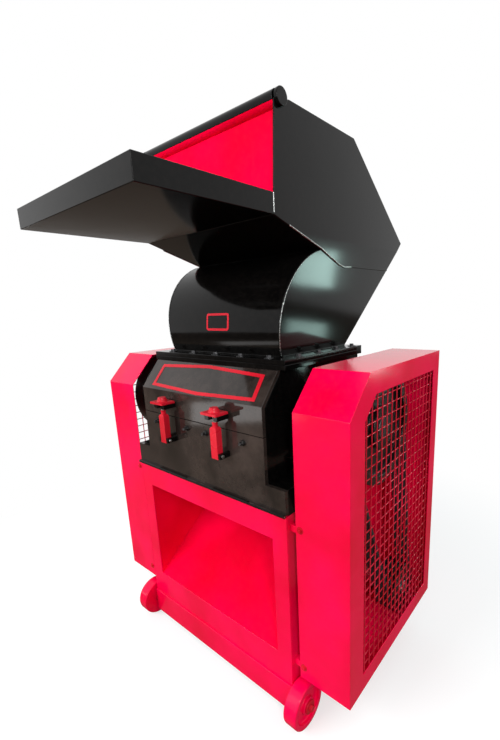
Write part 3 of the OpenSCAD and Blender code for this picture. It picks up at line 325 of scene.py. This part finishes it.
ACROSS, ALONG, UPWARD = np.eye(3)


def piece(name, verts, faces, material, slot, body, sharp_degrees=35):
    """An object at the origin from points in millimetres, smooth but for edges sharper than stated."""
    mesh = bpy.data.meshes.new(name)
    mesh.from_pydata((verts * MM).tolist(), [], faces if isinstance(faces, list) else faces.tolist())
    mesh.shade_smooth()
    mesh.set_sharp_from_angle(angle=math.radians(sharp_degrees))
    mesh.materials.append(material)
    made = bpy.data.objects.new(name, mesh)
    bpy.context.scene.collection.objects.link(made)
    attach(made, body)


def grid(points, wrap_u=False, wrap_v=False):
    """Quads over a grid of points p[u, v], joined round at the ends where asked."""
    nu, nv = points.shape[:2]
    u = np.arange(nu if wrap_u else nu - 1)
    v = np.arange(nv if wrap_v else nv - 1)
    a, b = np.meshgrid(u, v, indexing="ij")
    c, d = (a + 1) % nu, (b + 1) % nv
    quads = np.stack([a * nv + b, c * nv + b, c * nv + d, a * nv + d], -1)
    return points.reshape(-1, 3), quads.reshape(-1, 4)


def join(shapes):
    """Many shapes as one: the faces of each count on from the points of those before it."""
    first = np.cumsum([0] + [len(verts) for verts, _ in shapes[:-1]])
    return (np.concatenate([verts for verts, _ in shapes]),
            np.concatenate([faces + start for (_, faces), start in zip(shapes, first)]))


def set_on(points, place, axis):
    """Turns points made about +Z so that +Z lies along the axis, and moves them to the place:
    p' = place + x e1 + y e2 + z n, with n the axis and e1, e2 square to it."""
    n = np.asarray(axis, float) / np.linalg.norm(axis)
    side = UPWARD if abs(n[2]) < 0.9 else ACROSS
    e1 = np.cross(side, n)
    e1 /= np.linalg.norm(e1)
    e2 = np.cross(n, e1)
    return np.asarray(place, float) + points @ np.stack([e1, e2, n])


def lathe(profile, steps=28):
    """Surface of revolution about +Z: (r cos a, r sin a, z) for each (r, z) of the profile."""
    r, z = np.asarray(profile, float).T
    a = np.linspace(0, TURN, steps, endpoint=False)[:, None]
    return grid(np.stack([r * np.cos(a), r * np.sin(a), z + 0 * a], -1), wrap_u=True)


def hex_head(across, height):
    """A hexagon head under a turned cone: at angle a its radius is the lesser of the flat's
    (across / 2) / cos(((a + 30) mod 60) - 30) and the cone's, which shrinks near the top."""
    a = np.linspace(0, TURN, 48, endpoint=False)
    flat = across / 2 / np.cos((a + TURN / 12) % (TURN / 6) - TURN / 12)
    z = np.array([0.0, 0.72, 0.84, 0.93, 1.0, 1.0]) * height
    cone = across / 2 * np.array([1.2, 1.155, 1.10, 1.03, 0.93, 0.0])
    r = np.minimum(flat[:, None], cone[None, :])
    return grid(np.stack([r * np.cos(a)[:, None], r * np.sin(a)[:, None], z + 0 * r], -1), wrap_u=True)


def bolt(place, axis, across, height, washer=True):
    """A hexagon head with its seat at the place and its top along the axis, on a chamfered washer of
    radius 1.05 and thickness 0.11 times the head's width across."""
    head, head_faces = hex_head(across, height)
    if not washer:
        return set_on(head, place, axis), head_faces
    r, t = across * 1.05, across * 0.11
    ring, ring_faces = lathe([(0, 0), (r, 0), (r, t * 0.75), (r - t * 0.25, t), (0, t)])
    return join([(set_on(ring, place, axis), ring_faces),
                 (set_on(head + t * UPWARD, place, axis), head_faces)])


def socket_screw(place, axis, r, height):
    """A round head with a round socket, half as wide, sunk in its top."""
    verts, faces = lathe([(0, 0), (r, 0), (r, height * 0.88), (r * 0.9, height), (r * 0.5, height),
                          (r * 0.46, height * 0.45), (0, height * 0.4)])
    return set_on(verts, place, axis), faces


def bead(path, radius, pitch, turn):
    """A weld bead: a rounded ridge swept along a path, whose radius swells once per pitch,
    r(s) = radius (0.86 + 0.14 |sin(pi s / pitch)|), drawn about each point in the plane of the two
    directions given by turn."""
    path = np.asarray(path, float)
    run = np.concatenate([[0], np.cumsum(np.linalg.norm(np.diff(path, axis=0), axis=1))])
    steps = max(int(run[-1] / pitch * 5), 2)
    at = np.linspace(0, run[-1], steps)
    line = np.stack([np.interp(at, run, path[:, k]) for k in range(3)], -1)
    r = radius * (0.86 + 0.14 * np.abs(np.sin(math.pi * at / pitch)))
    a = np.linspace(0, TURN, 10, endpoint=False)[:, None]
    ring = np.cos(a) * turn[0] + np.sin(a) * turn[1]
    return grid(line[:, None, :] + r[:, None, None] * ring[None, :, :], wrap_v=True)


# Fasteners

FLANGE_TOP = 1074.0
ROTOR_Y, ROTOR_Z = -23.0, 875.0
BEARING_X, BEARING_END_X = 313, 339
BEARING_FOOT_TOP, BEARING_TOP = 764, 936
GUARD_FRONT_Y = -268
AXLE_END_X, AXLE_Z = 404.2, 68
KNIFE_SCREWS_X = (-195, -117, -39, 39, 117, 195)

flange_spots = [(x, y) for x in (-225, -112, 0, 112, 225) for y in (-180, 208)]
flange_spots += [(x, y) for x in (-285, 285) for y in (-120, -20, 80, 180)]
piece("flange_bolts", *join([bolt((x, y, FLANGE_TOP), UPWARD, 13, 7) for x, y in flange_spots]), ROLLED,
      "dark_steel", "frame")

bracket_spots = [(sign * 385, z) for sign in (-1, 1) for z in (196, 635)]
piece("guard_screws", *join([bolt((x, GUARD_FRONT_Y, z), -ALONG, 10, 5) for x, z in bracket_spots]), RED_LINE,
      "red_paint", "frame")

foot_spots = [(sign * BEARING_X, ROTOR_Y + end * 88) for sign in (-1, 1) for end in (-1, 1)]
piece("bearing_bolts", *join([bolt((x, y, BEARING_FOOT_TOP), UPWARD, 24, 12) for x, y in foot_spots]), TURNED,
      "bright_steel", "frame")

nipple, nipple_faces = lathe([(0, 0), (5, 0), (5, 3), (3, 4), (3, 9), (4, 10), (3.4, 13), (1.5, 15), (0, 15)])
piece("grease_nipples", *join([(set_on(nipple, (sign * BEARING_X, ROTOR_Y, BEARING_TOP), UPWARD), nipple_faces)
                               for sign in (-1, 1)]), TURNED, "bright_steel", "frame")

# four on each bearing's cap, 45 mm from the shaft's axis
cap_spots = 45 * np.exp(1j * np.radians([45, 135, 225, 315]))
piece("bearing_cap_screws", *join([bolt((sign * BEARING_END_X, ROTOR_Y + spot.real, ROTOR_Z + spot.imag),
                                        sign * ACROSS, 10, 6, False)
                                   for sign in (-1, 1) for spot in cap_spots]), TURNED,
      "bright_steel", "frame")

for side, sign in (("left", -1), ("right", 1)):
    for end, y in (("front", -268), ("rear", 235)):
        piece("axle_nut_%s_%s" % (end, side),
              *bolt((sign * AXLE_END_X, y, AXLE_Z), sign * ACROSS, 17, 9, False),
              RED_LINE, "red_paint", "frame")


def about_rotor(points, degrees):
    """Turns points about the rotor's axis, y' = c y - s z and z' = s y + c z."""
    c, s = math.cos(math.radians(degrees)), math.sin(math.radians(degrees))
    middle = np.array([0, ROTOR_Y, ROTOR_Z])
    x, y, z = (points - middle).T
    return middle + np.stack([x, c * y - s * z, s * y + c * z], -1)


def knife_screws(y, z, axis, height, turns):
    """A row of socket screws along a knife, and the same row turned about the rotor's axis."""
    screws = []
    for degrees in turns:
        for x in KNIFE_SCREWS_X:
            verts, faces = socket_screw((x, y, z), axis, 9, height)
            screws.append((about_rotor(verts, degrees), faces))
    return join(screws)


piece("rotor_knife_screws", *knife_screws(-37, ROTOR_Z + 108, -ALONG, 8, (0, 120, 240)), TURNED,
      "dark_steel", "rotor")
piece("bed_knife_screws", *knife_screws(-226, 905, UPWARD, 9, (0, 180)), TURNED, "dark_steel", "frame")

# Folded lip that shuts the slit between each guard's back wall and the cabinet: a bent strip, six corners
# round, carried upwards and closed at both ends

LIP = np.array([(352, 316.5), (352, 306), (336, 306), (336, 304.5), (353.5, 304.5), (353.5, 316.5)])
LIP_LOW, LIP_HIGH = 156, 664
LIP_ENDS = [[5, 4, 3, 2, 1, 0], [6, 7, 8, 9, 10, 11]]
for side, sign in (("left", -1), ("right", 1)):
    outline = LIP[::sign] * (sign, 1)
    rows = np.stack([np.insert(outline, 2, z, axis=1) for z in (LIP_LOW, LIP_HIGH)])
    corners, walls = grid(rows, wrap_v=True)
    piece("guard_lip_" + side, corners, walls.tolist() + LIP_ENDS, RED, "red_paint", "frame")


# Welds: bare bright steel under the mouth, at the tray's root, along the throat's edge and the front of the
# side sheets' seam, a painted highlight where highlights fall along these lines; painted black at the throat's
# foot and along the rest of the seam

THROAT_Y, THROAT_Z, THROAT_R = 66.0, 1149.0, 230.5
HALF_LOW, HALF_HIGH = 247.5, 280.0
BEND_Z = 1407.0
THROAT_EDGE_DEGREES = (106, 198)
EDGE_PROUD = 0.6
WELD_SHARP_DEGREES = 60


def half_width(z):
    """Half the hopper's width at a height: it tapers evenly from the bend down to the foot."""
    return HALF_LOW + (HALF_HIGH - HALF_LOW) * np.minimum((z - FLANGE_TOP) / (BEND_Z - FLANGE_TOP), 1.0)


def throat_edge(sign):
    """The outer edge of the rolled throat on one side, (y, z) = middle + R (cos a, sin a)."""
    a = np.radians(np.linspace(*THROAT_EDGE_DEGREES, 40))
    z = THROAT_Z + THROAT_R * np.sin(a)
    return np.stack([sign * (half_width(z) + EDGE_PROUD), THROAT_Y + THROAT_R * np.cos(a), z], -1)


bright = [bead([(-272, 14.5, 1371.5), (272, 14.5, 1371.5)], 2.0, 7, (ALONG, UPWARD))]
painted = [bead([(-244, -152.5, 1075.5), (244, -152.5, 1075.5)], 2.4, 7, (ALONG, UPWARD))]
TRAY_ROOT = [(280.5, -199, 1444), (280.5, -199, 1490)]
SEAM_FRONT = [(280.5, -140, 1422), (280.5, -60, 1398), (280.5, 14, 1375.5), (278, 50, 1362),
              (276.5, 86, 1349), (275.2, 120, 1337), (274.6, 152, 1331), (274.8, 190, 1333)]
SEAM_REST = [(274.8, 188, 1333), (274.8, 466, 1333)]
THROAT_FOOT = [(HALF_LOW, -148, 1075.5), (HALF_LOW, 194, 1075.5)]
for sign in (-1, 1):
    flip = (sign, 1, 1)
    bright += [bead(np.multiply(TRAY_ROOT, flip), 2.2, 6, (ACROSS, ALONG)),
               bead(np.multiply(SEAM_FRONT, flip), 2.6, 9, (ACROSS, UPWARD)),
               bead(throat_edge(sign), 1.3, 9, (ACROSS, ALONG))]
    painted += [bead(np.multiply(THROAT_FOOT, flip), 2.4, 7, (ACROSS, UPWARD)),
                bead(np.multiply(SEAM_REST, flip), 1.8, 9, (ACROSS, UPWARD))]
piece("bare_welds_as_painted_highlight", *join(bright), WELD, "bright_steel", "frame", WELD_SHARP_DEGREES)
piece("painted_welds", *join(painted), BLACK, "black_paint", "frame", WELD_SHARP_DEGREES)


# Raised frames: a plain six-cornered border on the sloped band, and a plain plate on the rolled throat

FOOT_OFF, FACE_OFF = 0.2, 1.0


def border(outer, inner, lay):
    """A flat frame between two outlines with the same number of corners, in four rings: the outer
    outline at its foot and at its face, then the inner one at its face and at its foot."""
    rings = [lay(outer, FOOT_OFF), lay(outer, FACE_OFF), lay(inner, FACE_OFF), lay(inner, FOOT_OFF)]
    return grid(np.stack(rings), wrap_v=True)


CREASE = np.array([0, -280, 960.0])
RISE = np.array([0, 70, 86.0])
RISE /= np.linalg.norm(RISE)
OUTWARD = np.array([0, -RISE[2], RISE[1]])


def on_slope(flat, off):
    """Flat points (x, y) laid on the plane from the crease to the flange: crease + x across + y rise,
    and off along the plane's outward normal."""
    return CREASE + flat[:, :1] * ACROSS + flat[:, 1:] * RISE + off * OUTWARD


BAND_MIDDLE = (8, 0)
OUTER = np.array([(-240, 12), (0, 2), (240, 12), (236, 95), (0, 108), (-236, 95)])
INNER = np.array([(-226, 22), (0, 13), (226, 22), (223, 85), (0, 97), (-223, 85)])
piece("sign_border", *border(OUTER + BAND_MIDDLE, INNER + BAND_MIDDLE, on_slope), RED_LINE,
      "red_paint", "frame")

PLATE_ANGLE = math.radians(173.6)


def on_roll(flat, off):
    """Flat points (x, y) laid on the rolled throat, x along the roll and y up its arc from the plate's
    middle: angle a = 173.6 deg - y / R, radius R + off."""
    a = PLATE_ANGLE - flat[:, 1] / THROAT_R
    r = THROAT_R + off
    return np.stack([flat[:, 0], THROAT_Y + r * np.cos(a), THROAT_Z + r * np.sin(a)], -1)


def rounded(half_w, half_h, r, steps=6):
    """A rectangle's outline with corners of radius r: a quarter circle about each corner's middle."""
    middles = np.array([(1, 1), (-1, 1), (-1, -1), (1, -1)]) * (half_w - r, half_h - r)
    a = np.radians(np.arange(0, 360, 90)[:, None] + np.linspace(0, 90, steps))
    return (middles[:, None, :] + r * np.stack([np.cos(a), np.sin(a)], -1)).reshape(-1, 2)


piece("throat_plate", *border(rounded(52, 27, 9), rounded(45, 20, 4), on_roll), RED_LINE,
      "red_paint", "frame")


# Cooling ribs on the motor

MOTOR_Y, MOTOR_Z = 150, 252
MOTOR_SKIN_R, RIB_ROOT_R, RIB_HEIGHT, RIBS_A_TURN = 116, 117, 9, 26


def cooling_ribs():
    """A ribbed sheet over the motor's upper two thirds: r(a) = root + height max(0, cos 26 a) ** 0.35,
    which drops to the skin's radius at both ends."""
    a = np.radians(np.linspace(-32, 212, 980))
    ribbed = RIB_ROOT_R + RIB_HEIGHT * np.maximum(0, np.cos(RIBS_A_TURN * a)) ** 0.35
    x, share = np.array([(-186, 0.0), (-184, 1.0), (144, 1.0), (146, 0.0)]).T[:, :, None]
    r = MOTOR_SKIN_R + (ribbed - MOTOR_SKIN_R) * share
    return grid(np.stack([x + 0 * r, MOTOR_Y + r * np.cos(a), MOTOR_Z + r * np.sin(a)], -1))


piece("motor_ribs", *cooling_ribs(), RED_INSIDE, "red_paint", "frame")


# Stage: pale floor, white surroundings and soft lamps

FLOOR_HALF = 9.0
# how far from the machine's middle the floor starts and ends its fade to white
FADE_FROM, FADE_TO = 0.9, 1.9


def set_floor():
    """A square floor. The camera sees it pale, with the machine's shadow, fading to white with distance;
    light that bounces finds it a warm mid tone."""
    mesh = bpy.data.meshes.new("floor")
    corners = np.array([(-1, -1, 0), (1, -1, 0), (1, 1, 0), (-1, 1, 0)]) * FLOOR_HALF
    mesh.from_pydata(corners.tolist(), [], [(0, 1, 2, 3)])
    floor = bpy.data.objects.new("floor", mesh)
    bpy.context.scene.collection.objects.link(floor)
    paint = bpy.data.materials.new("pale_floor")
    paint.use_nodes = True
    tree = paint.node_tree
    tree.nodes.clear()
    warm = add(tree, "ShaderNodeBsdfDiffuse", Color=tint("#85766A"))
    shade = add(tree, "ShaderNodeBsdfDiffuse", Color=tint("#BCBEBE"))
    glow = add(tree, "ShaderNodeEmission", Color=WHITE, Strength=0.55)
    ray = add(tree, "ShaderNodeLightPath")
    lit = add(tree, "ShaderNodeAddShader", {0: shade.outputs[0], 1: glow.outputs[0]})
    white = add(tree, "ShaderNodeEmission", Color=WHITE, Strength=1.0)
    where = add(tree, "ShaderNodeTexCoord")
    away = add(tree, "ShaderNodeVectorMath", {0: where.outputs["Object"]}, operation="LENGTH")
    fade = add(tree, "ShaderNodeMapRange", {"Value": away.outputs["Value"]},
               interpolation_type="SMOOTHSTEP")
    fade.inputs["From Min"].default_value = FADE_FROM
    fade.inputs["From Max"].default_value = FADE_TO
    seen = add(tree, "ShaderNodeMixShader", {0: fade.outputs[0], 1: lit.outputs[0], 2: white.outputs[0]})
    both = add(tree, "ShaderNodeMixShader",
               {0: ray.outputs["Is Camera Ray"], 1: warm.outputs[0], 2: seen.outputs[0]})
    add(tree, "ShaderNodeOutputMaterial", {"Surface": both.outputs[0]})
    mesh.materials.append(paint)


def set_surroundings():
    """White for the camera, in reflections and through glass; as a light, a room warm below, cool above."""
    world = bpy.data.worlds.new("surroundings")
    bpy.context.scene.world = world
    world.use_nodes = True
    tree = world.node_tree
    tree.nodes.clear()
    ray = add(tree, "ShaderNodeLightPath")
    way = add(tree, "ShaderNodeTexCoord")
    height = add(tree, "ShaderNodeSeparateXYZ", {0: way.outputs["Generated"]})
    rise = add(tree, "ShaderNodeMapRange", {"Value": height.outputs["Z"]})
    rise.inputs["From Min"].default_value = -0.1
    rise.inputs["From Max"].default_value = 0.9
    room = add(tree, "ShaderNodeValToRGB", {"Fac": rise.outputs[0]})
    room.color_ramp.elements[0].color = tint("#9A8C80")
    room.color_ramp.elements[1].color = tint("#E8EEF2")
    light = add(tree, "ShaderNodeBackground", {"Color": room.outputs[0]}, Strength=0.8)
    white = add(tree, "ShaderNodeBackground", Color=WHITE, Strength=1.0)
    mirror = add(tree, "ShaderNodeMath", {0: ray.outputs["Is Camera Ray"], 1: ray.outputs["Is Glossy Ray"]},
                 operation="MAXIMUM")
    clear = add(tree, "ShaderNodeMath", {0: mirror.outputs[0], 1: ray.outputs["Is Transmission Ray"]},
                operation="MAXIMUM")
    both = add(tree, "ShaderNodeMixShader",
               {0: clear.outputs[0], 1: light.outputs[0], 2: white.outputs[0]})
    add(tree, "ShaderNodeOutputWorld", {"Surface": both.outputs[0]})


def set_lamp(name, place, target, size, watts, mirrored=False, shade="#FFFFFF"):
    """A soft panel lamp, unseen by the camera; only a mirrored one shows in glossy paint, as a pane."""
    data = bpy.data.lights.new(name, "AREA")
    data.shape = "RECTANGLE"
    data.size, data.size_y = size
    data.energy = watts
    data.color = tint(shade)[:3]
    lamp = bpy.data.objects.new(name, data)
    lamp.visible_camera = False
    lamp.visible_glossy = mirrored
    lamp.location = place
    lamp.rotation_mode = "QUATERNION"
    lamp.rotation_quaternion = (Vector(target) - Vector(place)).to_track_quat("-Z", "Y")
    bpy.context.scene.collection.objects.link(lamp)


set_floor()
set_surroundings()
set_lamp("front_softbox", (-1.2, -3.4, 2.4), (0, 0, 0.8), (2.4, 2.0), 125)
set_lamp("side_softbox", (3.2, 0.4, 2.2), (0, 0, 0.8), (1.6, 2.2), 14)
set_lamp("throat_pane", (2.0, 2.46, 1.25), (0.26, 0.0, 1.24), (0.42, 0.36), 7, True, "#D4FFF6")
set_lamp("throat_low_pane", (2.0, 2.46, 0.62), (0.26, 0.0, 1.24), (0.42, 0.16), 2, True, "#D4FFF6")
set_lamp("edge_strip", (2.5, -2.1, 2.2), (0.28, -0.2, 1.3), (0.4, 1.8), 45, True)
set_lamp("low_strip", (-1.5, -2.0, 0.3), (0.1, -0.16, 1.1), (1.0, 0.2), 1.5, True)
set_camera()

scene = bpy.context.scene
scene.view_settings.view_transform = "Standard"
